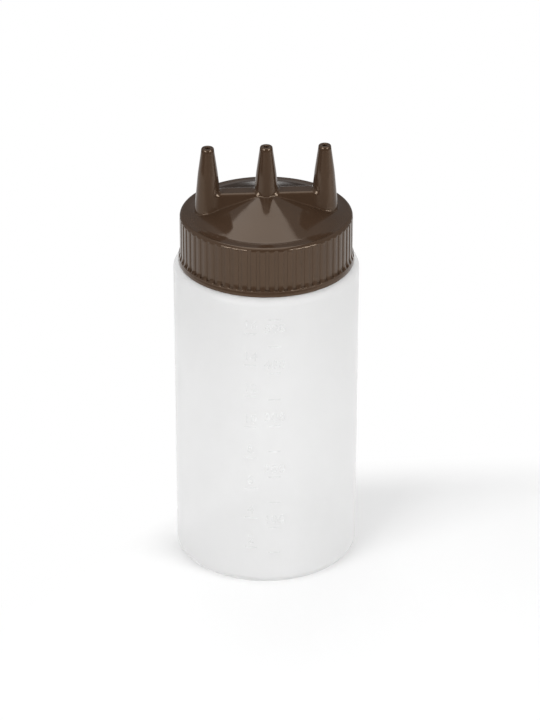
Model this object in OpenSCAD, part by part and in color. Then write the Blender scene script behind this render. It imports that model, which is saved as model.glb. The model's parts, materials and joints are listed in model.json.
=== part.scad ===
// Wide-mouth squeeze dispenser: a blown bottle, a screw cap with three upright nozzles in a row,
// and the flat sealing ring that the cap presses onto the bottle's lip.
//
// Frame: +Z up, origin at the middle of the base, nozzle row along X, moulded scale on the -Y side.

/* [Bottle] */
// Outside diameter of the bottle's body
body_d = 76.2; // [68:0.1:110]
// Height of the body, from the base to the ledge under the cap
body_h = 133; // [80:0.5:260]
// Wall of the body
body_wall = 1.2; // [0.8:0.1:2.4]
// Outside radius where the side meets the base
heel_r = 4; // [2:0.25:8]
// Outside radius where the side meets the ledge
shoulder_r = 3; // [1.5:0.25:6]
// Width of the flat ring that the bottle stands on
foot_w = 3.5; // [2:0.25:8]
// Rise of the base's middle above the table
pushup_h = 3; // [1.5:0.25:6]

/* [Neck] */
// How far the neck stands in from the body's side
ledge_w = 6.1; // [4.5:0.1:10]
// Height of the neck above the ledge
neck_h = 18.6; // [15:0.1:30]
// Wall of the neck
neck_wall = 1.4; // [1:0.1:2.4]

/* [Thread] */
// Rise in one turn
thread_pitch = 5; // [4:0.25:6]
// Turns of the ridge, on the neck and in the cap
thread_turns = 1.25; // [1:0.05:1.5]
// Width of a ridge at its crest
thread_crest_w = 1; // [0.6:0.05:1.2]
// Width of a ridge at its root
thread_root_w = 2.4; // [1.4:0.05:2.6]
// Height of the middle of the neck's ridge above the ledge, where the ridge begins
thread_start = 6.9; // [6.5:0.1:9]

/* [Cap] */
// Gap between the neck's wall and the skirt's, which the thread ridges fill
skirt_gap = 1.6; // [1.3:0.05:2]
// How far the flange at the skirt's lower edge stands out from the ribs
flange_w = 0.8; // [0.4:0.05:2]
// Height of the flange's upright edge
flange_h = 1.9; // [1:0.1:5]
// Height of the slope from the flange to the skirt
flange_slope_h = 2.4; // [0.5:0.1:4]
// Wall of the skirt under the grooves
skirt_wall = 1.15; // [0.9:0.05:2]
// Thickness of the rim over the sealing ring
rim_t = 2; // [1.2:0.1:3]
// Rounding of the rim's outer edge
rim_r = 1.6; // [0.5:0.1:2]
// Width of the flat land inside the rim's edge
rim_land = 2.6; // [1.5:0.1:6]
// Slope of the conical roof, in degrees
roof_slope = 18.3; // [10:0.1:30]
// Gap between the flange and the bottle's ledge
ledge_gap = 0.5; // [0.3:0.1:2]

/* [Ribs] */
// Number of ribs round the skirt
rib_count = 60; // [24:1:72]
// Width of the groove between two ribs
groove_w = 1.4; // [0.8:0.1:2]
// Depth of a groove
groove_depth = 0.5; // [0.3:0.05:0.9]
// Distance from a groove's arched top to the top of the rim
groove_top_gap = 1; // [0.4:0.1:3]
// Height of a groove's lower end above the flange's edge
groove_foot_gap = 0.6; // [0.2:0.1:4]

/* [Nozzles] */
// Distance from the roof's foot in to the middle of an outer nozzle
nozzle_inset = 7.45; // [6.5:0.05:14]
// Height of the nozzles above the rim
nozzle_h = 28.9; // [18:0.1:45]
// Outside diameter at a nozzle's end
nozzle_end_d = 5; // [4:0.1:6]
// Length of a nozzle's upper, more tapered part
nozzle_tip_l = 11.4; // [6:0.1:16]
// Half-angle of the upper part's taper, in degrees
nozzle_taper = 8; // [3:0.1:10]
// Half-angle of the lower part's taper, in degrees
nozzle_foot_taper = 5.3; // [2:0.1:8]
// Bore at a nozzle's end
outlet_d = 2; // [1.2:0.1:2.6]
// Length of the straight bore at a nozzle's end
outlet_l = 4; // [2:0.5:8]
// Wall of a nozzle where it leaves the roof
nozzle_wall = 1.4; // [1:0.1:1.8]

/* [Beam] */
// Height of the beam's top above the rim
beam_h = 9.8; // [7:0.1:14]
// Width of the beam at its top
beam_top_w = 7; // [4:0.1:8]
// Width of the beam where it meets the rim's level
beam_foot_w = 11.4; // [8:0.1:14]
// Rounding of the beam's top edges
beam_r = 1.1; // [0.5:0.1:1.5]
// Wall of the beam
beam_wall = 1.6; // [1:0.1:1.8]

/* [Sealing ring] */
// Thickness of the sealing ring
ring_t = 1; // [0.8:0.1:2]
// How far the ring reaches inwards past the lip
ring_inner_lap = 0.4; // [0:0.1:1]

/* [Scale] */
// Height of the 50 ml mark above the base
ml_first_z = 15.6; // [8:0.1:30]
// Distance between two marks that are 50 ml apart
ml_step = 12.1; // [6:0.01:16]
// Number of 50 ml marks
ml_marks = 10; // [1:1:12]
// Height of the 2 oz mark above the base
oz_first_z = 18; // [8:0.1:30]
// Distance between two marks that are 2 oz apart
oz_step = 14.3; // [6:0.01:18]
// Number of 2 oz marks
oz_marks = 8; // [1:1:9]
// Length of a mark
mark_l = 5; // [2:0.1:8]
// Width of a mark
mark_w = 0.7; // [0.4:0.1:1.5]
// Height of a mark above the wall
mark_h = 0.25; // [0.15:0.05:0.5]
// Turn of the ml column from the front, in degrees
ml_turn = 1.4; // [0:0.1:20]
// Turn of the oz column from the front, in degrees
oz_turn = -13.4; // [-30:0.1:-8]

/* [Clearances] */
// Gap between the cap's moving surfaces and the neck
run_gap = 0.4; // [0.3:0.05:0.6]

/* [Hidden] */
$fn = 120;

cut = 1;                                  // overshoot of a cutting shape past the face it opens
bury = 0.4;                               // depth that a ridge or a mark is sunk into its wall
arc_steps = 8;                            // steps in a quarter-round outline
thread_step = 7.5;                        // degrees between two sections of a thread ridge
thread_fade = 30;                         // degrees over which a ridge grows from its wall
thread_fade_floor = 0.15;                 // share of a ridge's height left at its very end

body_r = body_d / 2;
neck_r = body_r - ledge_w;
mouth_r = neck_r - neck_wall;
lip_z = body_h + neck_h;                  // top of the neck

skirt_in_r = neck_r + skirt_gap;
skirt_r = skirt_in_r + skirt_wall + groove_depth;
flange_r = skirt_r + flange_w;
cap_z = body_h + ledge_gap;               // lower edge of the cap
roof_in_z = lip_z + ring_t;               // the cap's flat seat on the sealing ring
rim_z = roof_in_z + rim_t;
flange_z = cap_z + flange_h;
groove_z = flange_z + groove_foot_gap;
roof_foot_r = skirt_r - rim_r - rim_land; // where the rim's land meets the cone
roof_in_r = mouth_r - ring_inner_lap;     // where the seat meets the inner cone

ring_out_r = skirt_in_r - run_gap;
ring_in_r = mouth_r - ring_inner_lap;

nozzle_pitch = roof_foot_r - nozzle_inset;
nozzle_z = rim_z + nozzle_h;
nozzle_end_r = nozzle_end_d / 2;
outlet_r = outlet_d / 2;
nozzle_waist_z = nozzle_z - nozzle_tip_l; // where a nozzle's two tapers meet
function nozzle_r(z) = nozzle_end_r
    + (nozzle_z - max(z, nozzle_waist_z)) * tan(nozzle_taper)
    + max(0, nozzle_waist_z - z) * tan(nozzle_foot_taper);
function roof_z(r) = rim_z + (roof_foot_r - r) * tan(roof_slope);
function roof_under_z(r) = roof_in_z + (roof_in_r - r) * tan(roof_slope);

thread_h = skirt_gap - run_gap;            // height of each ridge above its wall

// Points of a circular arc about c, from angle a0 to a1.
function arc(c, r, a0, a1) =
    [for (i = [0 : arc_steps]) let (a = a0 + (a1 - a0) * i / arc_steps) c + r * [cos(a), sin(a)]];

// ---------------------------------------------------------------- thread

// Half the width of a ridge at the height h above its wall; it grows below the wall.
function ridge_half_w(h) =
    thread_crest_w / 2 + (thread_root_w - thread_crest_w) / 2 * (thread_h - h) / thread_h;

// Share of the full height that a ridge has at the angle a.
function ridge_share(a, length) =
    max(thread_fade_floor, min(1, a / thread_fade, (length - a) / thread_fade));

// Distance between the middles of two ridges that pass with run_gap between their flanks.
function flank_offset() = ridge_half_w(run_gap) + ridge_half_w(thread_h) + run_gap;

// A right-hand ridge on a round wall of radius wall_r. side is 1 outside the wall and -1 inside it.
module thread_ridge(wall_r, side, start_z) {
    length = thread_turns * 360;
    steps = round(length / thread_step);
    sections = [for (i = [0 : steps])
        let (
            a = length * i / steps,
            z = start_z + thread_pitch * a / 360,
            h = thread_h * ridge_share(a, length),
            deep = [wall_r - side * bury, ridge_half_w(-bury)],
            crest = [wall_r + side * h, ridge_half_w(thread_h)],
            near = side > 0 ? deep : crest,
            far = side > 0 ? crest : deep
        )
        for (p = [[near[0], -near[1]], [far[0], -far[1]], [far[0], far[1]], [near[0], near[1]]])
            [p[0] * cos(a), p[0] * sin(a), z + p[1]]];
    sides = [for (i = [0 : steps - 1], k = [0 : 3])
        let (a = 4 * i + k, b = 4 * i + (k + 1) % 4)
        each [[a, b, b + 4], [a, b + 4, a + 4]]];
    polyhedron(sections, concat([[0, 3, 2, 1]], sides, [[for (k = [0 : 3]) 4 * steps + k]]));
}

// ---------------------------------------------------------------- bottle

// Half outline of the bottle's outside, from the middle of the base to the lip.
function bottle_outline() = concat(
    [[0, pushup_h], [body_r - heel_r - foot_w, 0]],
    arc([body_r - heel_r, heel_r], heel_r, -90, 0),
    arc([body_r - shoulder_r, body_h - shoulder_r], shoulder_r, 0, 90),
    [[neck_r, body_h], [neck_r, lip_z], [0, lip_z]]);

// Half outline of the space inside the bottle.
function bottle_hollow() = concat(
    [[0, pushup_h + body_wall], [body_r - heel_r - foot_w, body_wall]],
    arc([body_r - heel_r, heel_r], heel_r - body_wall, -90, 0),
    arc([body_r - shoulder_r, body_h - shoulder_r], shoulder_r - body_wall, 0, 90),
    [[mouth_r, body_h - body_wall], [mouth_r, lip_z + cut], [0, lip_z + cut]]);

// One raised mark of the scale, turned from the front by the angle turn.
module mark(z, turn) {
    rotate([0, 0, turn - 90])
        translate([body_r - bury, -mark_l / 2, z - mark_w / 2])
            cube([bury + cut, mark_l, mark_w]);
}

module scale_marks() {
    intersection() {
        difference() {
            cylinder(r = body_r + mark_h, h = body_h);
            translate([0, 0, -cut])
                cylinder(r = body_r - bury, h = body_h + 2 * cut);
        }
        union() {
            for (i = [0 : ml_marks - 1])
                mark(ml_first_z + i * ml_step, ml_turn);
            for (i = [0 : oz_marks - 1])
                mark(oz_first_z + i * oz_step, oz_turn);
        }
    }
}

module bottle() {
    color([0.93, 0.94, 0.94]) {
        difference() {
            rotate_extrude() polygon(bottle_outline());
            rotate_extrude() polygon(bottle_hollow());
        }
        scale_marks();
        thread_ridge(neck_r, 1, body_h + thread_start);
    }
}

// ---------------------------------------------------------------- sealing ring

module sealing_ring() {
    color([0.85, 0.85, 0.83])
        translate([0, 0, lip_z])
            difference() {
                cylinder(r = ring_out_r, h = ring_t);
                translate([0, 0, -cut])
                    cylinder(r = ring_in_r, h = ring_t + 2 * cut);
            }
}

// ---------------------------------------------------------------- cap

// Half outline of the cap without its nozzles: flange, skirt, rounded rim, land and cone.
function cap_outline() = concat(
    [[0, cap_z], [flange_r, cap_z], [flange_r, flange_z], [skirt_r, flange_z + flange_slope_h]],
    arc([skirt_r - rim_r, rim_z - rim_r], rim_r, 0, 90),
    [[roof_foot_r, rim_z], [0, roof_z(0)]]);

// Half outline of the space under the roof.
function cap_hollow() = [
    [0, cap_z - cut], [skirt_in_r, cap_z - cut], [skirt_in_r, roof_in_z],
    [roof_in_r, roof_in_z], [0, roof_under_z(0)]];

// One groove between two ribs, with an arched top, on the +X side.
module groove() {
    translate([skirt_r - groove_depth, 0, 0])
        rotate([90, 0, 90])
            linear_extrude(groove_depth + flange_w + cut) {
                translate([-groove_w / 2, groove_z])
                    square([groove_w, rim_z - groove_top_gap - groove_w / 2 - groove_z]);
                translate([0, rim_z - groove_top_gap - groove_w / 2])
                    circle(d = groove_w);
            }
}

// Outside of one nozzle, from inside the roof to its end.
module nozzle() {
    waist_r = nozzle_r(nozzle_waist_z);
    translate([0, 0, roof_in_z])
        cylinder(r1 = nozzle_r(roof_in_z), r2 = waist_r, h = nozzle_waist_z - roof_in_z);
    translate([0, 0, nozzle_waist_z])
        cylinder(r1 = waist_r, r2 = nozzle_end_r, h = nozzle_tip_l);
}

// Space inside one nozzle: a taper, then the straight outlet.
module nozzle_hollow() {
    taper_z = nozzle_z - outlet_l;
    translate([0, 0, roof_in_z])
        cylinder(r1 = nozzle_r(roof_in_z) - nozzle_wall, r2 = outlet_r, h = taper_z - roof_in_z);
    translate([0, 0, taper_z])
        cylinder(r = outlet_r, h = outlet_l + cut);
}

// Cross-section of the beam in Y and Z, less the inset wall; r rounds its top edges.
module beam_section(inset, r) {
    top = rim_z + beam_h - inset;
    lean = atan((beam_foot_w - beam_top_w) / 2 / beam_h);
    half = beam_top_w / 2 - inset;
    foot = beam_foot_w / 2 - inset + tan(lean) * (rim_z - roof_in_z);
    polygon(concat(
        [[-foot, roof_in_z], [foot, roof_in_z]],
        arc([half - r, top - r], r, lean, 90),
        arc([r - half, top - r], r, 90, 180 - lean)));
}

// The beam that joins the nozzles, or the channel inside it.
module beam(inset, r) {
    translate([-nozzle_pitch, 0, 0])
        rotate([90, 0, 90])
            linear_extrude(2 * nozzle_pitch)
                beam_section(inset, r);
}

module at_nozzles() {
    for (i = [-1 : 1])
        translate([i * nozzle_pitch, 0, 0])
            children();
}

module cap() {
    color([0.27, 0.21, 0.18]) {
        difference() {
            union() {
                rotate_extrude() polygon(cap_outline());
                beam(0, beam_r);
                at_nozzles() nozzle();
            }
            rotate_extrude() polygon(cap_hollow());
            beam(beam_wall, beam_r / 2);
            at_nozzles() nozzle_hollow();
            for (i = [0 : rib_count - 1])
                rotate([0, 0, (i + 0.5) * 360 / rib_count])
                    groove();
        }
        thread_ridge(skirt_in_r, -1, body_h + thread_start - flank_offset());
    }
}

bottle();
sealing_ring();
cap();
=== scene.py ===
"""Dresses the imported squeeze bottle: frosted bottle, moulded scale, sealing ring and three-nozzle cap.

Lengths in the modelling functions are millimetres in the part's frame: +Z up, nozzle row along X,
scale on -Y.
"""

import json
import math

import bmesh
import bpy
import numpy as np
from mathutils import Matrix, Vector


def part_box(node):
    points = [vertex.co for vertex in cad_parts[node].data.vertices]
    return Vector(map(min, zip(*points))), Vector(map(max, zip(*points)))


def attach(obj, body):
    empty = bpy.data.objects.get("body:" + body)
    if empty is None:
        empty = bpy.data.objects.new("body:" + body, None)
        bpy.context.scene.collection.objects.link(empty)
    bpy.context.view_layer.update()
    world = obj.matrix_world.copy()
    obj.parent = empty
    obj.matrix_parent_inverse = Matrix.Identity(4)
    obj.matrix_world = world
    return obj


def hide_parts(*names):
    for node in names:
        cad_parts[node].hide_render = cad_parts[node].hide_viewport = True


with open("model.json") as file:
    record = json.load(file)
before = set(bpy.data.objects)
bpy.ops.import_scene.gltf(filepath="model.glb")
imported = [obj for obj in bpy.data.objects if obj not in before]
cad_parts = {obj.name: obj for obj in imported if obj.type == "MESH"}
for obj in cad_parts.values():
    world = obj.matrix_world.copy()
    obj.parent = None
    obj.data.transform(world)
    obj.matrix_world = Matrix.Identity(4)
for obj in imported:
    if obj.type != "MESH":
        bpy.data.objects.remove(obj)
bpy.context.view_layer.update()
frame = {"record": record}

MM = 0.001

# ------------------------------------------------------------------ sizes, from the frame

bottle_low, bottle_high = (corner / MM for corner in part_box("bottle"))
ring_low, ring_high = (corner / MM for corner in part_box("sealing_ring"))
cap_low, cap_high = (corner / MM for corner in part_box("cap"))
mounts = {m["name"]: m for m in frame["record"]["mounts"]}

BODY_R = bottle_high.x
LIP_Z = bottle_high.z
RING_R = ring_high.x
SEAT_Z = ring_high.z
FLANGE_R = cap_high.x
CAP_Z = cap_low.z
NOZZLE_Z = cap_high.z
NOZZLE_X = [mounts[name]["pos_m"][0] / MM for name in ("outlet_left", "outlet_middle", "outlet_right")]
OUTLET_R = mounts["outlet_middle"]["dims"]["r_mm"]
OUTLET_L = mounts["outlet_middle"]["dims"]["length_mm"]

# Sizes that the frame's boxes don't give, as in the part's source, apart from shallower grooves.
BODY_WALL, HEEL_R, SHOULDER_R, FOOT_W, PUSHUP_H = 1.2, 4.0, 3.0, 3.5, 3.0
LEDGE_GAP, LEDGE_W, NECK_WALL = 0.5, 6.1, 1.4
PITCH, TURNS, CREST_W, ROOT_W, THREAD_START = 5.0, 1.25, 1.0, 2.4, 6.9
RUN_GAP, SKIRT_GAP = 0.4, 1.6
FLANGE_W, FLANGE_H, FLANGE_SLOPE_H = 0.8, 1.9, 2.4
RIM_T, RIM_R, RIM_LAND, ROOF_SLOPE = 2.0, 1.6, 2.6, math.radians(18.3)
RIBS, GROOVE_W, GROOVE_DEPTH, GROOVE_TOP_GAP, GROOVE_FOOT_GAP = 60, 1.4, 0.28, 1.0, 0.6
NOZZLE_END_R, NOZZLE_TAPER, NOZZLE_WALL = 2.5, math.radians(8), 1.4
NOZZLE_TIP_L, NOZZLE_FOOT_TAPER = 11.4, math.radians(5.3)
BEAM_H, BEAM_TOP_W, BEAM_FOOT_W, BEAM_R, BEAM_WALL = 9.8, 7.0, 11.4, 1.1, 1.6
RING_LAP = 0.4
ML_FIRST_Z, ML_STEP, ML_MARKS, ML_TURN = 15.6, 12.1, 10, math.radians(1.4)
OZ_FIRST_Z, OZ_STEP, OZ_MARKS, OZ_TURN = 18.0, 14.3, 8, math.radians(-13.4)
MARK_L, MARK_W, MARK_H = 5.0, 0.7, 0.25
NUMBER_SIZE, NUMBER_RISE, NUMBER_DROP = 5.4, 2.2, 5.6

# A groove's wall and the rounded edge of the rib beside it: how far it is cut, as a share of its depth,
# at distances from where the groove ends.
RIB_EDGE_AT = (-0.03, 0.0, 0.06, 0.16, 0.28)
RIB_EDGE_SHARE = (1.0, 0.52, 0.27, 0.08, 0.0)
GROOVE_FOOT_EDGE = 0.1

# Fineness of the meshes: vertices in a ring, cells of the cap's two nets and steps between its rows.
BOTTLE_COUNT, RING_COUNT, THREAD_COUNT, NOZZLE_COUNT = 288, 192, 144, 56
OUTSIDE_CELL, HOLLOW_CELL, INNER_ROW, GROOVE_ROW = 0.38, 0.85, 0.42, 0.1

# Fillets of the cap, and how much the blown wall waves.
BEAM_FILLET, ROOF_FILLET, CONE_FILLET = 1.2, 0.3, 0.5
WALL_WAVE = 0.04

BODY_H = CAP_Z - LEDGE_GAP
NECK_R = BODY_R - LEDGE_W
MOUTH_R = NECK_R - NECK_WALL
THREAD_H = SKIRT_GAP - RUN_GAP
SKIRT_IN_R = NECK_R + SKIRT_GAP
SKIRT_R = FLANGE_R - FLANGE_W
RIM_Z = SEAT_Z + RIM_T
FLANGE_Z = CAP_Z + FLANGE_H
GROOVE_Z = FLANGE_Z + GROOVE_FOOT_GAP
GROOVE_FLOOR_R = SKIRT_R - GROOVE_DEPTH
ROOF_FOOT_R = SKIRT_R - RIM_R - RIM_LAND
ROOF_IN_R = MOUTH_R - RING_LAP

# ------------------------------------------------------------------ small helpers


def arc(centre, radius, start, end, steps):
    """Points of an arc in (r, z), from the angle start to the angle end in degrees."""
    return [
        (centre[0] + radius * math.cos(math.radians(a)), centre[1] + radius * math.sin(math.radians(a)))
        for a in np.linspace(start, end, steps + 1)
    ]


def line(start, end, steps):
    """Points from start to end, without start."""
    start, way = np.array(start), np.array(end) - np.array(start)
    return [tuple(start + way * i / steps) for i in range(1, steps + 1)]


def smooth_step(t):
    """A soft step from 0 to 1 while t goes from 0 to 1."""
    t = np.clip(t, 0, 1)
    return t * t * (3 - 2 * t)


def ripple(theta, z, seed):
    """A slow random-looking waviness of about unit size, periodic in theta."""
    rng = np.random.default_rng(seed)
    total = np.zeros(np.broadcast(theta, z).shape)
    for waves in (1, 2, 3, 5):
        for along in (0.02, 0.045):
            phase_a, phase_z = rng.uniform(0, 2 * math.pi, 2)
            total += np.sin(waves * theta + phase_a) * np.sin(along * 2 * math.pi * z / 3 + phase_z) / waves
    return total / 2


class Skin:
    """Collects vertices and faces of one piece, in millimetres."""

    def __init__(self):
        self.bm = bmesh.new()

    def ring(self, radii, heights, angles):
        """A ring of vertices round the axis, with one radius and height or one for each angle."""
        radii, heights = np.broadcast_to(radii, angles.shape), np.broadcast_to(heights, angles.shape)
        return [
            self.bm.verts.new((r * math.cos(a), r * math.sin(a), z))
            for r, z, a in zip(radii, heights, angles)
        ]

    def join_rings(self, a, b):
        """Quads between two rings with the same number of vertices."""
        n = len(a)
        for i in range(n):
            j = (i + 1) % n
            self.bm.faces.new((a[i], a[j], b[j], b[i]))

    def close_ring(self, ring, height):
        """A fan from a ring to a point on the axis."""
        tip = self.bm.verts.new((0, 0, height))
        n = len(ring)
        for i in range(n):
            self.bm.faces.new((ring[i], ring[(i + 1) % n], tip))

    def boundary_loops(self):
        """The open edges, as ordered loops of vertices."""
        follow = {}
        for edge in self.bm.edges:
            if len(edge.link_faces) == 1:
                a, b = edge.verts
                follow.setdefault(a, []).append(b)
                follow.setdefault(b, []).append(a)
        loops, seen = [], set()
        for start in follow:
            if start in seen:
                continue
            loop, previous, here = [], None, start
            while here not in seen:
                seen.add(here)
                loop.append(here)
                ahead = [v for v in follow[here] if v is not previous and v not in seen]
                previous = here
                if ahead:
                    here = ahead[0]
            loops.append(loop)
        return loops

    def zip_loops(self, a, b, centre):
        """Triangles between two loops that run round centre, whatever their counts."""
        a, angle_a = turned(a, centre)
        b, angle_b = turned(b, centre)
        start = int(np.argmin(np.abs((angle_b[:-1] - angle_a[0] + math.pi) % (2 * math.pi) - math.pi)))
        b = b[start:] + b[:start]
        b, angle_b = turned(b, centre)
        angle_b = angle_b + 2 * math.pi * round((angle_a[0] - angle_b[0]) / (2 * math.pi))
        i = j = 0
        while i < len(a) or j < len(b):
            if j == len(b) or (i < len(a) and angle_a[i + 1] <= angle_b[j + 1]):
                self.bm.faces.new((a[i], a[(i + 1) % len(a)], b[j % len(b)]))
                i += 1
            else:
                self.bm.faces.new((b[j], b[(j + 1) % len(b)], a[i % len(a)]))
                j += 1

    def finish(self, name, material, body, replaces=()):
        """Makes the piece in metres, gives it its material and puts it on its body."""
        bmesh.ops.recalc_face_normals(self.bm, faces=self.bm.faces[:])
        for face in self.bm.faces:
            face.smooth = True
        mesh = bpy.data.meshes.new(name)
        bmesh.ops.scale(self.bm, vec=(MM, MM, MM), verts=self.bm.verts[:])
        self.bm.to_mesh(mesh)
        self.bm.free()
        mesh.materials.append(material)
        piece = bpy.data.objects.new(name, mesh)
        bpy.context.scene.collection.objects.link(piece)
        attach(piece, body)
        if replaces:
            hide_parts(*replaces)
        return piece


def turned(loop, centre):
    """The loop run anticlockwise round centre, with its unwrapped angles and the first again at the end."""
    angles = np.unwrap([math.atan2(v.co.y - centre[1], v.co.x - centre[0]) for v in loop + loop[:1]])
    if angles[-1] < angles[0]:
        loop = loop[::-1]
        angles = np.unwrap([math.atan2(v.co.y - centre[1], v.co.x - centre[0]) for v in loop + loop[:1]])
    return loop, angles


def even_angles(count):
    """Angles all round, evenly spaced."""
    return np.arange(count) * 2 * math.pi / count


# ------------------------------------------------------------------ thread


def ridge_half_w(height):
    """Half the width of a thread ridge at a height above its wall."""
    return CREST_W / 2 + (ROOT_W - CREST_W) / 2 * (THREAD_H - height) / THREAD_H


NECK_THREAD_Z = BODY_H + THREAD_START
CAP_THREAD_Z = NECK_THREAD_Z - ridge_half_w(RUN_GAP) - ridge_half_w(THREAD_H) - RUN_GAP


def thread(theta, z, start_z):
    """How much of a thread ridge stands at each angle and height, from 0 to 1."""
    length = TURNS * 2 * math.pi
    run_out = math.radians(30)
    share = np.zeros(np.broadcast(theta, z).shape)
    for turn in range(math.ceil(TURNS)):
        a = theta + turn * 2 * math.pi
        middle = start_z + PITCH * a / (2 * math.pi)
        flank = (ROOT_W / 2 - np.abs(z - middle)) / ((ROOT_W - CREST_W) / 2)
        along = smooth_step(np.minimum(a, length - a) / run_out)
        share = np.maximum(share, smooth_step(flank) * along)
    return share


# ------------------------------------------------------------------ bottle


def base_z(r):
    """Height of the underside of the base at the radius r."""
    foot = BODY_R - HEEL_R - FOOT_W
    return PUSHUP_H * np.maximum(0, 1 - (r / foot) ** 2)


def bottle_outside():
    """Outside of the bottle in (r, z), from near the axis up to the ledge's inner end."""
    foot = BODY_R - HEEL_R - FOOT_W
    base = [(r, float(base_z(r))) for r in np.linspace(1, foot, 18)]
    heel = arc((BODY_R - HEEL_R, HEEL_R), HEEL_R, -90, 0, 10)
    wall = line((BODY_R, HEEL_R), (BODY_R, BODY_H - SHOULDER_R), 34)[:-1]
    shoulder = arc((BODY_R - SHOULDER_R, BODY_H - SHOULDER_R), SHOULDER_R, 0, 90, 10)
    root = 0.6
    ledge = line(shoulder[-1], (NECK_R + root, BODY_H), 3)
    foot_of_neck = arc((NECK_R + root, BODY_H + root), root, -90, -180, 4)[1:]
    return base + heel + wall + shoulder + ledge + foot_of_neck


def bottle_inside():
    """Inside of the bottle in (r, z), from the lip down to near the axis."""
    wall_r = BODY_R - BODY_WALL
    inner_heel, inner_shoulder = HEEL_R - BODY_WALL, SHOULDER_R - BODY_WALL
    throat = 0.8
    neck = line((MOUTH_R, LIP_Z - 0.5), (MOUTH_R, BODY_H - BODY_WALL + throat), 6)
    turn = arc((MOUTH_R + throat, BODY_H - BODY_WALL + throat), throat, 180, 270, 4)[1:]
    under_ledge = line(turn[-1], (BODY_R - SHOULDER_R, BODY_H - BODY_WALL), 2)
    shoulder = arc((BODY_R - SHOULDER_R, BODY_H - SHOULDER_R), inner_shoulder, 90, 0, 8)[1:]
    wall = line((wall_r, BODY_H - SHOULDER_R), (wall_r, HEEL_R), 34)
    heel = arc((BODY_R - HEEL_R, HEEL_R), inner_heel, 0, -90, 8)[1:]
    foot = BODY_R - HEEL_R - FOOT_W
    base = [(r, float(base_z(r)) + BODY_WALL) for r in np.linspace(foot, 1, 16)]
    return neck + turn + under_ledge + shoulder + wall + heel + base


def make_bottle(material):
    skin = Skin()
    angles = even_angles(BOTTLE_COUNT)
    rings = []
    for r, z in bottle_outside():
        wave = WALL_WAVE * (ripple(angles, np.full_like(angles, z), 3) - 1.2)
        wave = wave * smooth_step(np.array((z - 6) / 10)) * smooth_step(np.array((BODY_H - 4 - z) / 10))
        rings.append(skin.ring(r + wave, z, angles))
    for z in np.arange(BODY_H + 0.9, LIP_Z - 0.5, 0.3):
        ridge = thread(angles, np.full_like(angles, z), NECK_THREAD_Z)
        rings.append(skin.ring(NECK_R + THREAD_H * ridge, z, angles))
    lip_r = 0.5
    for r, z in arc((NECK_R - lip_r, LIP_Z - lip_r), lip_r, 0, 90, 4):
        rings.append(skin.ring(r, z, angles))
    for r, z in arc((MOUTH_R + lip_r, LIP_Z - lip_r), lip_r, 90, 180, 4)[:-1]:
        rings.append(skin.ring(r, z, angles))
    for r, z in bottle_inside():
        rings.append(skin.ring(r, z, angles))
    for a, b in zip(rings, rings[1:]):
        skin.join_rings(a, b)
    skin.close_ring(rings[0], PUSHUP_H)
    skin.close_ring(rings[-1], PUSHUP_H + BODY_WALL)
    return skin.finish("bottle_shell", material, "bottle", ["bottle"])


# ------------------------------------------------------------------ moulded scale


def on_wall(turn, u, v, height):
    """A point on the wall: u along it from the column's middle, v up, height above the wall."""
    angle = turn - math.pi / 2 + u / BODY_R
    radius = BODY_R + height
    return (radius * math.cos(angle), radius * math.sin(angle), v)


def add_bar(bm, turn, z):
    """A raised mark with sloped edges, sunk a little into the wall."""
    sink = 0.1
    layers = []
    for grow, height in ((0.0, -sink), (0.0, 0.05), (-0.08, 0.16), (-0.2, MARK_H)):
        half_l, half_w = MARK_L / 2 + grow, MARK_W / 2 + grow
        top = [(u, half_w) for u in np.linspace(half_l, -half_l, 7)]
        bottom = [(u, -half_w) for u in np.linspace(-half_l, half_l, 7)]
        layers.append([bm.verts.new(on_wall(turn, u, z + v, height)) for u, v in top + bottom])
    for a, b in zip(layers, layers[1:]):
        for i in range(len(a)):
            j = (i + 1) % len(a)
            bm.faces.new((a[i], a[j], b[j], b[i]))
    count = len(layers[0])
    for layer in (layers[0], layers[-1]):
        for i in range(count // 2 - 1):
            bm.faces.new((layer[i], layer[i + 1], layer[count - 2 - i], layer[count - 1 - i]))


def add_number(bm, text, turn, z, size):
    """A plain raised number whose lower edge is at z, centred on the column."""
    curve = bpy.data.curves.new("number", "FONT")
    curve.body = text
    curve.align_x = "CENTER"
    curve.size = size
    curve.space_character = 1.12
    curve.extrude = 0.12
    curve.bevel_depth = 0.04
    curve.bevel_resolution = 1
    curve.resolution_u = 4
    holder = bpy.data.objects.new("number", curve)
    bpy.context.scene.collection.objects.link(holder)
    graph = bpy.context.evaluated_depsgraph_get()
    mesh = bpy.data.meshes.new_from_object(holder.evaluated_get(graph))
    before = len(bm.verts)
    bm.from_mesh(mesh)
    bm.verts.ensure_lookup_table()
    for vert in bm.verts[before:]:
        vert.co = on_wall(turn, vert.co.x, z + vert.co.y, vert.co.z + 0.05)
    bpy.data.objects.remove(holder)
    bpy.data.curves.remove(curve)
    bpy.data.meshes.remove(mesh)


def make_scale(name, material, turn, first_z, step, marks, numbers, numbers_drop=False):
    """One column of marks; numbers gives the text over a mark, by its place in the column."""
    skin = Skin()
    for i in range(marks):
        add_bar(skin.bm, turn, first_z + i * step)
    for i, text in numbers.items():
        low = -NUMBER_DROP if i == marks - 1 and numbers_drop else NUMBER_RISE
        add_number(skin.bm, text, turn, first_z + i * step + low, NUMBER_SIZE)
    bmesh.ops.remove_doubles(skin.bm, verts=skin.bm.verts[:], dist=0.0005)
    return skin.finish(name, material, "bottle")


# ------------------------------------------------------------------ sealing ring


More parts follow.
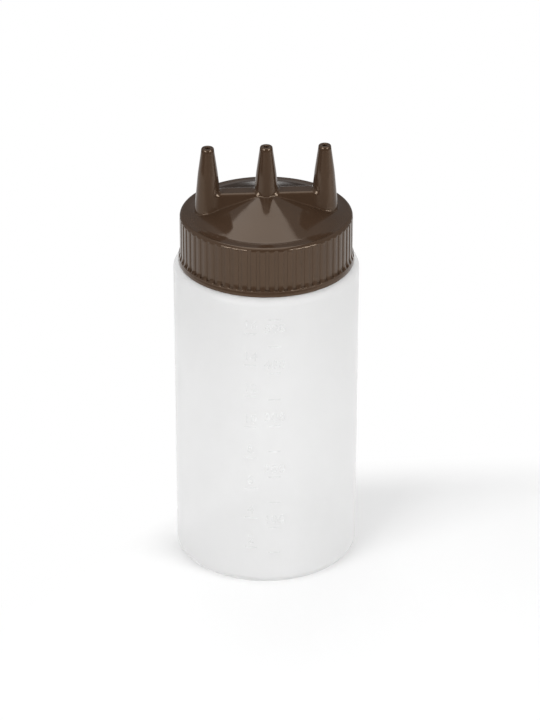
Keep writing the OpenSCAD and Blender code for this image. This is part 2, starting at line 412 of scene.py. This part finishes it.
def make_ring(material):
    skin = Skin()
    angles = even_angles(RING_COUNT)
    inner_r, soft = ROOF_IN_R, 0.25
    corners = [
        ((RING_R - soft, SEAT_Z - soft), 90, 0),
        ((RING_R - soft, ring_low.z + soft), 0, -90),
        ((inner_r + soft, ring_low.z + soft), -90, -180),
        ((inner_r + soft, SEAT_Z - soft), -180, -270),
    ]
    section = [p for centre, start, end in corners for p in arc(centre, soft, start, end, 4)]
    rings = [skin.ring(r, z, angles) for r, z in section]
    for a, b in zip(rings, rings[1:] + rings[:1]):
        skin.join_rings(a, b)
    return skin.finish("seal_washer", material, "sealing_ring", ["sealing_ring"])


# ------------------------------------------------------------------ cap


def union_round(a, b, radius):
    """Distance to the union of two solids, with a fillet of that radius between them."""
    corner = np.hypot(np.maximum(radius - a, 0), np.maximum(radius - b, 0))
    return np.maximum(radius, np.minimum(a, b)) - corner


def both_round(a, b, radius):
    """Distance to what two solids share, with its edge rounded to that radius."""
    corner = np.hypot(np.maximum(radius + a, 0), np.maximum(radius + b, 0))
    return np.minimum(-radius, np.maximum(a, b)) + corner


def roof_distance(r, z, foot_r, foot_z):
    """Below a land at foot_z that turns up into a cone inside foot_r."""
    cone = (z - foot_z) * math.cos(ROOF_SLOPE) - (foot_r - r) * math.sin(ROOF_SLOPE)
    return union_round(z - foot_z, cone, CONE_FILLET)


def beam_distance(x, y, z, inset, edge_r):
    """The beam between the nozzles, drawn in by inset."""
    lean = math.atan((BEAM_FOOT_W - BEAM_TOP_W) / 2 / BEAM_H)
    top = RIM_Z + BEAM_H
    side = (np.abs(y) - BEAM_TOP_W / 2 - (top - z) * math.tan(lean)) * math.cos(lean) + inset
    section = both_round(z - top + inset, side, edge_r)
    return np.maximum(section, np.abs(x) - NOZZLE_X[2])


def nozzle_r(z):
    """Radius of a nozzle's outside, which tapers less below its waist; the change is softened."""
    below, soft = NOZZLE_Z - NOZZLE_TIP_L - z, 1.5
    below = np.where(np.abs(below) < soft, (below + soft) ** 2 / (4 * soft), np.maximum(below, 0))
    return NOZZLE_END_R + (NOZZLE_Z - z) * math.tan(NOZZLE_TAPER) - below * (
        math.tan(NOZZLE_TAPER) - math.tan(NOZZLE_FOOT_TAPER)
    )


def nozzle_inner_r(z):
    """Radius of the space inside a nozzle, below its straight outlet."""
    taper_z = NOZZLE_Z - OUTLET_L
    foot_r = nozzle_r(SEAT_Z) - NOZZLE_WALL
    return OUTLET_R + (foot_r - OUTLET_R) * (taper_z - z) / (taper_z - SEAT_Z)


def nozzle_distance(x, y, z, radius_at):
    """Distance to the nearest nozzle's wall."""
    nearest = np.minimum.reduce([np.hypot(x - nx, y) for nx in NOZZLE_X])
    return (nearest - radius_at(z)) * math.cos(NOZZLE_TAPER)


def cap_outside(x, y, z):
    """Signed distance to the cap's roof, beam and nozzles from outside, without rim and skirt."""
    roof = roof_distance(np.hypot(x, y), z, ROOF_FOOT_R, RIM_Z)
    beam = beam_distance(x, y, z, 0, BEAM_R)
    nozzles = nozzle_distance(x, y, z, nozzle_r)
    joined = np.minimum(union_round(roof, beam, ROOF_FILLET), union_round(roof, nozzles, ROOF_FILLET))
    return np.minimum(joined, union_round(beam, nozzles, BEAM_FILLET))


def cap_hollow(x, y, z):
    """Signed distance to the space under the roof, beam and nozzles."""
    hollow = roof_distance(np.hypot(x, y), z, ROOF_IN_R, SEAT_Z)
    hollow = np.minimum(hollow, beam_distance(x, y, z, BEAM_WALL, BEAM_R / 2))
    return np.minimum(hollow, nozzle_distance(x, y, z, nozzle_inner_r))


def gradient(f, p):
    """Slope of f at each of the points p."""
    step = 0.01
    axes = np.eye(3) * step
    return np.stack([(f(*(p + d).T) - f(*(p - d).T)) / (2 * step) for d in axes], axis=1)


def surface_net(f, xs, ys, zs):
    """Vertices and quads of the surface f = 0 on a box of cells, each vertex moved onto the surface."""
    value = f(*np.meshgrid(xs, ys, zs, indexing="ij"))
    inside = value < 0
    cells = tuple(n - 1 for n in value.shape)

    def corner(array, c):
        return array[tuple(slice(o, o + n) for o, n in zip(c, cells))]

    corners = [(i, j, k) for i in (0, 1) for j in (0, 1) for k in (0, 1)]
    filled = sum(corner(inside, c).astype(int) for c in corners)
    mixed = (filled > 0) & (filled < 8)
    number = np.full(cells, -1)
    number[mixed] = np.arange(mixed.sum())
    where = np.argwhere(mixed)
    steps = np.array([xs[1] - xs[0], ys[1] - ys[0], zs[1] - zs[0]])
    origin = np.array([xs[0], ys[0], zs[0]])
    total, hits = np.zeros((len(where), 3)), np.zeros(len(where))
    for c in corners:
        for axis in range(3):
            if c[axis]:
                continue
            d = tuple(o + (1 if n == axis else 0) for n, o in enumerate(c))
            va, vb = corner(value, c)[mixed], corner(value, d)[mixed]
            crossed = (va < 0) != (vb < 0)
            share = np.where(crossed, va / np.where(crossed, va - vb, 1), 0)
            point = where + np.array(c) + share[:, None] * (np.array(d) - np.array(c))
            total[crossed] += point[crossed]
            hits[crossed] += 1
    points = origin + total / hits[:, None] * steps
    for _ in range(4):
        slope = gradient(f, points)
        move = f(*points.T)[:, None] * slope / np.maximum((slope**2).sum(1), 0.2)[:, None]
        points -= np.clip(move, -steps / 3, steps / 3)
    quads = []
    for axis in range(3):
        low = [slice(1, n - 1) for n in value.shape]
        high = [slice(1, n - 1) for n in value.shape]
        low[axis], high[axis] = slice(0, -1), slice(1, None)
        crossed = np.argwhere(inside[tuple(low)] != inside[tuple(high)])
        offset = np.ones(3, int)
        offset[axis] = 0
        base = crossed + offset
        u, v = np.eye(3, dtype=int)[[n for n in range(3) if n != axis]]
        meeting = [base, base - u, base - u - v, base - v]
        quads.append(np.stack([number[tuple(c.T)] for c in meeting], axis=1))
    return points, np.concatenate(quads)


def groove_share(arc_at, z):
    """How far a groove is cut, from 0 to 1, at a distance along the skirt from its middle."""
    arch_z = RIM_Z - GROOVE_TOP_GAP - GROOVE_W / 2
    across = np.hypot(arc_at, np.maximum(z - arch_z, 0))
    walls = np.interp(across - GROOVE_W / 2, RIB_EDGE_AT, RIB_EDGE_SHARE)
    return walls * smooth_step((z - GROOVE_Z) / GROOVE_FOOT_EDGE + 0.5)


def rib_angles():
    """Angles round the skirt, closer at the ribs' edges, and how far each is from a groove's middle."""
    pitch = 2 * math.pi * SKIRT_R / RIBS
    half = GROOVE_W / 2
    offsets = [0.4, half - 0.1] + [half + d for d in RIB_EDGE_AT]
    across = np.array(sorted([-o for o in offsets] + [0.0] + offsets + [pitch / 2]))
    angles = np.concatenate([(i + 0.5) * 2 * math.pi / RIBS + across / SKIRT_R for i in range(RIBS)])
    return angles, np.tile(np.where(across > pitch / 2 - 1e-6, half + 1, np.abs(across)), RIBS)


def skirt_outside():
    """Outside of the rim and skirt in (r, z), from the land down to the lower edge."""
    edge = 0.25
    rim = arc((SKIRT_R - RIM_R, RIM_Z - RIM_R), RIM_R, 90, 0, 16)
    arches = np.arange(RIM_Z - RIM_R - GROOVE_ROW, RIM_Z - GROOVE_TOP_GAP - GROOVE_W, -GROOVE_ROW)
    rows = [*arches, RIM_Z - 3, RIM_Z - 9]
    slope_top = FLANGE_Z + FLANGE_SLOPE_H
    wall = [(SKIRT_R, z) for z in rows]
    fillet = [(SKIRT_R + out, slope_top + up) for out, up in ((0, 0.7), (0.02, 0.3), (0.1, -0.2))]
    low_slope = [slope_r(z) for z in (slope_top - 0.7, GROOVE_Z + 0.45, GROOVE_Z + 0.2)]
    low_slope += [slope_r(GROOVE_Z + d) for d in (GROOVE_FOOT_EDGE / 2, -GROOVE_FOOT_EDGE / 2, -0.2)]
    draft = 0.14
    shoulder = [(FLANGE_R - draft - 0.07, FLANGE_Z + 0.02), (FLANGE_R - draft, FLANGE_Z - 0.12)]
    lower = arc((FLANGE_R - edge, CAP_Z + edge), edge, 0, -90, 4)
    return rim + wall + fillet + low_slope + shoulder + lower


def slope_r(z):
    """A point of the slope between the flange and the ribs."""
    return (SKIRT_R + FLANGE_W * (FLANGE_Z + FLANGE_SLOPE_H - z) / FLANGE_SLOPE_H, z)


def make_cap(material):
    skin = Skin()
    reach = ROOF_FOOT_R + 1.2
    neck_z = RIM_Z + BEAM_H + 2.2
    join_r = ROOF_FOOT_R + 0.6
    for surface, cell in ((cap_outside, OUTSIDE_CELL), (cap_hollow, HOLLOW_CELL)):
        across = np.arange(-reach, reach + cell, cell)
        points, quads = surface_net(surface, across, across, np.arange(SEAT_Z - 1.1, neck_z, cell))
        radius = np.hypot(points[:, 0], points[:, 1])
        # The land and the seat are flat where the plain rings join them.
        for flat_z in (RIM_Z, SEAT_Z):
            on_flat = (radius > ROOF_FOOT_R + 0.1) & (np.abs(points[:, 2] - flat_z) < 0.05)
            points[on_flat, 2] = flat_z
        near = radius < join_r - 0.35
        quads = quads[near[quads].all(1)]
        verts = {i: skin.bm.verts.new(points[i]) for i in np.unique(quads)}
        for quad in quads:
            skin.bm.faces.new([verts[i] for i in quad])
    open_loops = skin.boundary_loops()

    outer_angles, groove_at = rib_angles()
    rings = [skin.ring(join_r, RIM_Z, outer_angles)]
    for r, z in skirt_outside():
        rings.append(skin.ring(r - (r - GROOVE_FLOOR_R) * groove_share(groove_at, z), z, outer_angles))
    for a, b in zip(rings, rings[1:]):
        skin.join_rings(a, b)

    inner_angles = even_angles(THREAD_COUNT)
    lead = 0.4
    inner = [skin.ring(SKIRT_IN_R + lead, CAP_Z, inner_angles)]
    for z in np.arange(CAP_Z + lead, SEAT_Z - 0.2, INNER_ROW):
        ridge = thread(inner_angles, np.full_like(inner_angles, z), CAP_THREAD_Z)
        inner.append(skin.ring(SKIRT_IN_R - THREAD_H * ridge, z, inner_angles))
    inner.append(skin.ring(SKIRT_IN_R, SEAT_Z, inner_angles))
    inner.append(skin.ring(join_r, SEAT_Z, inner_angles))
    for a, b in zip(inner, inner[1:]):
        skin.join_rings(a, b)
    skin.zip_loops(rings[-1], inner[0], (0, 0))

    for loop in open_loops:
        height = sum(v.co.z for v in loop) / len(loop)
        middle_x = sum(v.co.x for v in loop) / len(loop)
        if height < RIM_Z + 1:
            ring = rings[0] if height > SEAT_Z + RIM_T / 2 else inner[-1]
            skin.zip_loops(loop, ring, (0, 0))
            continue
        x = min(NOZZLE_X, key=lambda nx: abs(nx - middle_x))
        loop_r = max(v.co.x for v in loop) - x
        upper = nozzle_upper(skin, x, neck_z, loop_r > (nozzle_r(neck_z) + nozzle_inner_r(neck_z)) / 2)
        skin.zip_loops(loop, upper, (x, 0))
    join_nozzle_ends(skin)
    return skin.finish("nozzle_cap", material, "cap", ["cap"])


def nozzle_upper(skin, x, start_z, outer):
    """The upper part of a nozzle's outside or inside: returns its lowest ring, leaves its highest open."""
    angles = even_angles(NOZZLE_COUNT)
    end_r = 0.4
    if outer:
        rows = [(nozzle_r(z), z) for z in np.linspace(start_z + 0.3, NOZZLE_Z - end_r, 14)]
        rows += arc((nozzle_r(NOZZLE_Z) - end_r, NOZZLE_Z - end_r), end_r, 0, 80, 5)[1:]
    else:
        taper_z = NOZZLE_Z - OUTLET_L
        rows = [(nozzle_inner_r(z), z) for z in np.linspace(start_z + 0.3, taper_z, 10)]
        rows += [(OUTLET_R, z) for z in np.linspace(taper_z, NOZZLE_Z - 0.2, 6)[1:]]
        rows += [(OUTLET_R + 0.06, NOZZLE_Z - 0.06)]
    rings = []
    for r, z in rows:
        ring = skin.ring(r, z, angles)
        for vert in ring:
            vert.co.x += x
        rings.append(ring)
    for a, b in zip(rings, rings[1:]):
        skin.join_rings(a, b)
    return rings[0]


def join_nozzle_ends(skin):
    """Closes each nozzle's flat end, between its outside and its outlet."""
    ends = {}
    for loop in skin.boundary_loops():
        middle_x = sum(v.co.x for v in loop) / len(loop)
        ends.setdefault(round(middle_x), []).append(loop)
    for loops in ends.values():
        x = sum(v.co.x for v in loops[0]) / len(loops[0])
        skin.zip_loops(loops[0], loops[1], (x, 0))


# ------------------------------------------------------------------ materials


def new_material(name):
    """An empty material, with its node tree and output node."""
    material = bpy.data.materials.new(name)
    material.use_nodes = True
    tree = material.node_tree
    tree.nodes.clear()
    out = tree.nodes.new("ShaderNodeOutputMaterial")
    return material, tree, out


def add_node(tree, kind, **values):
    """A new node with those properties set."""
    node = tree.nodes.new(kind)
    for key, value in values.items():
        setattr(node, key, value)
    return node


def noise(tree, scale, detail=2.0, roughness=0.5):
    """A noise texture on object coordinates; scale is in features per metre."""
    place = add_node(tree, "ShaderNodeTexCoord")
    texture = add_node(tree, "ShaderNodeTexNoise")
    texture.inputs["Scale"].default_value = scale
    texture.inputs["Detail"].default_value = detail
    texture.inputs["Roughness"].default_value = roughness
    tree.links.new(place.outputs["Object"], texture.inputs["Vector"])
    return texture.outputs["Fac"]


def spread(tree, value, low, high):
    """Maps a noise's middle stretch to low and high."""
    ramp = add_node(tree, "ShaderNodeMapRange")
    ramp.inputs["From Min"].default_value = 0.3
    ramp.inputs["From Max"].default_value = 0.7
    ramp.inputs["To Min"].default_value = low
    ramp.inputs["To Max"].default_value = high
    tree.links.new(value, ramp.inputs["Value"])
    return ramp.outputs["Result"]


def tint(tree, value, dark, light):
    """A colour between dark and light, by a noise."""
    ramp = add_node(tree, "ShaderNodeValToRGB")
    ramp.color_ramp.elements[0].position = 0.3
    ramp.color_ramp.elements[0].color = (*dark, 1)
    ramp.color_ramp.elements[1].position = 0.7
    ramp.color_ramp.elements[1].color = (*light, 1)
    tree.links.new(value, ramp.inputs["Fac"])
    return ramp.outputs["Color"]


def bump(tree, value, distance, strength, under=None):
    """A bumped normal, on top of the bump under it if there is one."""
    node = add_node(tree, "ShaderNodeBump")
    node.inputs["Distance"].default_value = distance
    node.inputs["Strength"].default_value = strength
    tree.links.new(value, node.inputs["Height"])
    if under:
        tree.links.new(under, node.inputs["Normal"])
    return node.outputs["Normal"]


def fade(tree, value, start, end, low, high):
    """A colour going softly from low to high, each a colour or socket, as value goes from start to end."""
    ramp = add_node(tree, "ShaderNodeMapRange", interpolation_type="SMOOTHSTEP")
    ramp.inputs["From Min"].default_value = start
    ramp.inputs["From Max"].default_value = end
    tree.links.new(value, ramp.inputs["Value"])
    mix = add_node(tree, "ShaderNodeMix", data_type="RGBA")
    colours = [socket for socket in mix.inputs if socket.type == "RGBA"]
    for socket, colour in zip(colours, (low, high)):
        if isinstance(colour, tuple):
            socket.default_value = (*colour, 1)
        else:
            tree.links.new(colour, socket)
    tree.links.new(ramp.outputs["Result"], mix.inputs["Factor"])
    return next(socket for socket in mix.outputs if socket.type == "RGBA")


def calculate(tree, operation, a, b):
    """The result of a Math node on a socket and a number or another socket."""
    node = add_node(tree, "ShaderNodeMath", operation=operation)
    tree.links.new(a, node.inputs[0])
    if isinstance(b, float):
        node.inputs[1].default_value = b
    else:
        tree.links.new(b, node.inputs[1])
    return node.outputs["Value"]


def camera_sees(tree):
    """1 for what the camera sees directly, and 0 for light and reflections."""
    return add_node(tree, "ShaderNodeLightPath").outputs["Is Camera Ray"]


def grey(level):
    return (level, level, level)


def brown_plastic():
    """Glossy moulded polyethylene: slow waves in the gloss, and a fine skin."""
    material, tree, out = new_material("brown_polyethylene")
    shader = add_node(tree, "ShaderNodeBsdfPrincipled")
    shader.inputs["IOR"].default_value = 1.5
    shader.inputs["Specular Tint"].default_value = (1, 0.8, 0.62, 1)
    colour = tint(tree, noise(tree, 60), (0.049, 0.028, 0.0165), (0.055, 0.032, 0.0195))
    tree.links.new(colour, shader.inputs["Base Color"])
    tree.links.new(spread(tree, noise(tree, 220, 3), 0.07, 0.12), shader.inputs["Roughness"])
    waves = bump(tree, noise(tree, 120, 1), 0.0004, 0.12)
    skin = bump(tree, noise(tree, 2600, 2), 0.00003, 0.1, waves)
    tree.links.new(skin, shader.inputs["Normal"])
    tree.links.new(shader.outputs["BSDF"], out.inputs["Surface"])
    return material


def frosted_plastic(name, clear_share):
    """Milky polyethylene: scatters light on both sides, shines softly, and lets a little sight through."""
    material, tree, out = new_material(name)
    surface = add_node(tree, "ShaderNodeBsdfPrincipled")
    surface.inputs["IOR"].default_value = 1.5
    colour = tint(tree, noise(tree, 45), (0.94, 0.94, 0.94), (0.955, 0.955, 0.955))
    tree.links.new(colour, surface.inputs["Base Color"])
    tree.links.new(spread(tree, noise(tree, 300, 3), 0.36, 0.46), surface.inputs["Roughness"])
    grain = bump(tree, noise(tree, 1400, 3), 0.00005, 0.3)
    tree.links.new(grain, surface.inputs["Normal"])
    through = add_node(tree, "ShaderNodeBsdfTranslucent")
    tree.links.new(colour, through.inputs["Color"])
    tree.links.new(grain, through.inputs["Normal"])
    milky = add_node(tree, "ShaderNodeMixShader")
    milky.inputs["Fac"].default_value = 0.45
    tree.links.new(surface.outputs["BSDF"], milky.inputs[1])
    tree.links.new(through.outputs["BSDF"], milky.inputs[2])
    clear = add_node(tree, "ShaderNodeBsdfTransparent")
    mix = add_node(tree, "ShaderNodeMixShader")
    mix.inputs["Fac"].default_value = clear_share
    tree.links.new(milky.outputs["Shader"], mix.inputs[1])
    tree.links.new(clear.outputs["BSDF"], mix.inputs[2])
    tree.links.new(mix.outputs["Shader"], out.inputs["Surface"])
    return material


def ring_silicone():
    """Soft, matt, off-white silicone."""
    material, tree, out = new_material("ring_silicone")
    shader = add_node(tree, "ShaderNodeBsdfPrincipled")
    colour = tint(tree, noise(tree, 90), (0.76, 0.76, 0.73), (0.82, 0.82, 0.79))
    tree.links.new(colour, shader.inputs["Base Color"])
    tree.links.new(spread(tree, noise(tree, 500), 0.5, 0.62), shader.inputs["Roughness"])
    tree.links.new(bump(tree, noise(tree, 1800), 0.00003, 0.3), shader.inputs["Normal"])
    tree.links.new(shader.outputs["BSDF"], out.inputs["Surface"])
    return material


# ------------------------------------------------------------------ stage, light and camera


def make_floor():
    """A white floor that keeps the object's shadow. Towards the front its paint darkens, a painted shade.

    Behind the object and to its left it glows white, a painted light that also lights the object. Far away
    the glow greys, which only reflections show: the camera sees it white.
    """
    size = 8.0
    # Where each change in the floor starts and ends, in metres from the object's middle: the paint darkens
    # in front (painted shade), the floor turns into a white glow behind and to the left (painted light),
    # the glow greys far away, and further out the camera sees it white.
    painted_shade_front, dim_far = (-0.65, -0.3), (0.68, 0.95)
    glow_behind, plain_outside = (0.03, 0.065), (0.25, 0.45)
    mesh = bpy.data.meshes.new("floor")
    bm = bmesh.new()
    bmesh.ops.create_grid(bm, x_segments=2, y_segments=2, size=size / 2)
    bm.to_mesh(mesh)
    bm.free()
    floor = bpy.data.objects.new("floor", mesh)
    bpy.context.scene.collection.objects.link(floor)
    material, tree, out = new_material("floor_white")
    place = add_node(tree, "ShaderNodeTexCoord")
    length = add_node(tree, "ShaderNodeVectorMath", operation="LENGTH")
    tree.links.new(place.outputs["Object"], length.inputs[0])
    split = add_node(tree, "ShaderNodeSeparateXYZ")
    tree.links.new(place.outputs["Object"], split.inputs["Vector"])
    paint = add_node(tree, "ShaderNodeBsdfDiffuse")
    # The paint darkens towards the front: painted shade for the light that falls off ahead of the object.
    white = fade(tree, split.outputs["Y"], *painted_shade_front, grey(0.35), grey(0.97))
    tree.links.new(white, paint.inputs["Color"])
    glow = add_node(tree, "ShaderNodeEmission")
    seen = camera_sees(tree)
    far = calculate(tree, "MAXIMUM", seen, 0.05)
    tree.links.new(fade(tree, length.outputs["Value"], *dim_far, grey(1), far), glow.inputs["Color"])
    mix = add_node(tree, "ShaderNodeMixShader")
    left = calculate(tree, "MINIMUM", split.outputs["X"], 0.0)
    beyond = calculate(tree, "SUBTRACT", split.outputs["Y"], left)
    # The floor glows white behind the object and to its left: painted light, which also lights the object.
    behind = fade(tree, beyond, *glow_behind, grey(0), grey(1))
    outer = calculate(tree, "MAXIMUM", seen, behind)
    tree.links.new(fade(tree, length.outputs["Value"], *plain_outside, behind, outer), mix.inputs["Fac"])
    tree.links.new(paint.outputs["BSDF"], mix.inputs[1])
    tree.links.new(glow.outputs["Emission"], mix.inputs[2])
    tree.links.new(mix.outputs["Shader"], out.inputs["Surface"])
    mesh.materials.append(material)


def make_world():
    """A dim grey studio, lighter at the sides and dark in front, that the camera sees as white."""
    world = bpy.data.worlds.new("studio")
    bpy.context.scene.world = world
    world.use_nodes = True
    tree = world.node_tree
    tree.nodes.clear()
    out = tree.nodes.new("ShaderNodeOutputWorld")
    sky = tree.nodes.new("ShaderNodeBackground")
    place = tree.nodes.new("ShaderNodeTexCoord")
    split = tree.nodes.new("ShaderNodeSeparateXYZ")
    tree.links.new(place.outputs["Generated"], split.inputs["Vector"])
    sides = fade(tree, split.outputs["X"], -0.15, 0.15, grey(0.52), grey(0.38))
    ahead = fade(tree, split.outputs["Y"], -0.8, -0.5, grey(0.02), sides)
    around_it = fade(tree, split.outputs["Y"], 0.5, 0.8, ahead, grey(0.26))
    tree.links.new(fade(tree, camera_sees(tree), 0, 1, around_it, grey(1)), sky.inputs["Color"])
    tree.links.new(sky.outputs["Background"], out.inputs["Surface"])


def area_light(name, place, aim, size, power):
    """A soft rectangular lamp at place, aimed at a point; size is its width and height."""
    data = bpy.data.lights.new(name, "AREA")
    data.shape = "RECTANGLE"
    data.size, data.size_y = size
    data.energy = power
    lamp = bpy.data.objects.new(name, data)
    lamp.location = place
    lamp.rotation_euler = (Vector(aim) - Vector(place)).to_track_quat("-Z", "Y").to_euler()
    bpy.context.scene.collection.objects.link(lamp)


MIDDLE = (0, 0, 0.1)
FRONT_LAMP_SIZE, FRONT_LAMP_DISTANCE = (0.9, 0.5), 1.5


def around(azimuth, elevation, distance):
    """A point round the object's middle: azimuth from the front, positive to the right, in degrees."""
    a, e = math.radians(azimuth), math.radians(elevation)
    aside, ahead, above = math.sin(a) * math.cos(e), -math.cos(a) * math.cos(e), math.sin(e)
    return (aside * distance, ahead * distance, MIDDLE[2] + above * distance)


def make_lights():
    """A large lamp over and behind the object, and one at each side in front."""
    area_light("overhead", (-0.02, 0.32, 1.35), (-0.02, 0.32, 0), (0.68, 1.36), 4.5)
    for name, azimuth, power in (("front_left", -45, 12.0), ("front_right", 45, 12.5)):
        place = around(azimuth, 22, FRONT_LAMP_DISTANCE)
        area_light(name, place, MIDDLE, FRONT_LAMP_SIZE, power)


def make_camera():
    """The photograph's view: named in pixels of the 540 x 720 frame."""
    frame_w, frame_h, focal_px = 540, 720, 3104
    target_px, target_py = 266.24, 373.22
    distance, elevation, turn = 1.296, math.radians(28.26), math.radians(-3.69)
    data = bpy.data.cameras.new("camera")
    data.sensor_width = 36
    data.lens = focal_px / frame_h * data.sensor_width
    data.shift_x = (frame_w / 2 - target_px) / frame_h
    data.shift_y = (target_py - frame_h / 2) / frame_h
    data.clip_start, data.clip_end = 0.05, 50
    target = Vector((0, 0, 0.080))
    back = Vector(
        (math.sin(turn) * math.cos(elevation), -math.cos(turn) * math.cos(elevation), math.sin(elevation))
    )
    camera = bpy.data.objects.new("camera", data)
    camera.location = target + back * distance
    camera.rotation_euler = (-back).to_track_quat("-Z", "Y").to_euler()
    bpy.context.scene.collection.objects.link(camera)
    bpy.context.scene.camera = camera


# ------------------------------------------------------------------ scene

make_camera()
make_world()
make_lights()
make_floor()

# The second value is the share of sight that goes straight through.
bottle_skin = frosted_plastic("frosted_polyethylene", 0.4)
make_bottle(bottle_skin)
mark_skin = frosted_plastic("frosted_marks", 0.85)
ml_numbers = {i: str(50 * (i + 1)) for i in range(1, ML_MARKS, 2)}
oz_numbers = {i: str(2 * (i + 1)) for i in range(OZ_MARKS)}
make_scale("scale_ml", mark_skin, ML_TURN, ML_FIRST_Z, ML_STEP, ML_MARKS, ml_numbers, numbers_drop=True)
make_scale("scale_oz", mark_skin, OZ_TURN, OZ_FIRST_Z, OZ_STEP, OZ_MARKS, oz_numbers)
make_ring(ring_silicone())
make_cap(brown_plastic())

bpy.context.scene.view_settings.view_transform = "Standard"
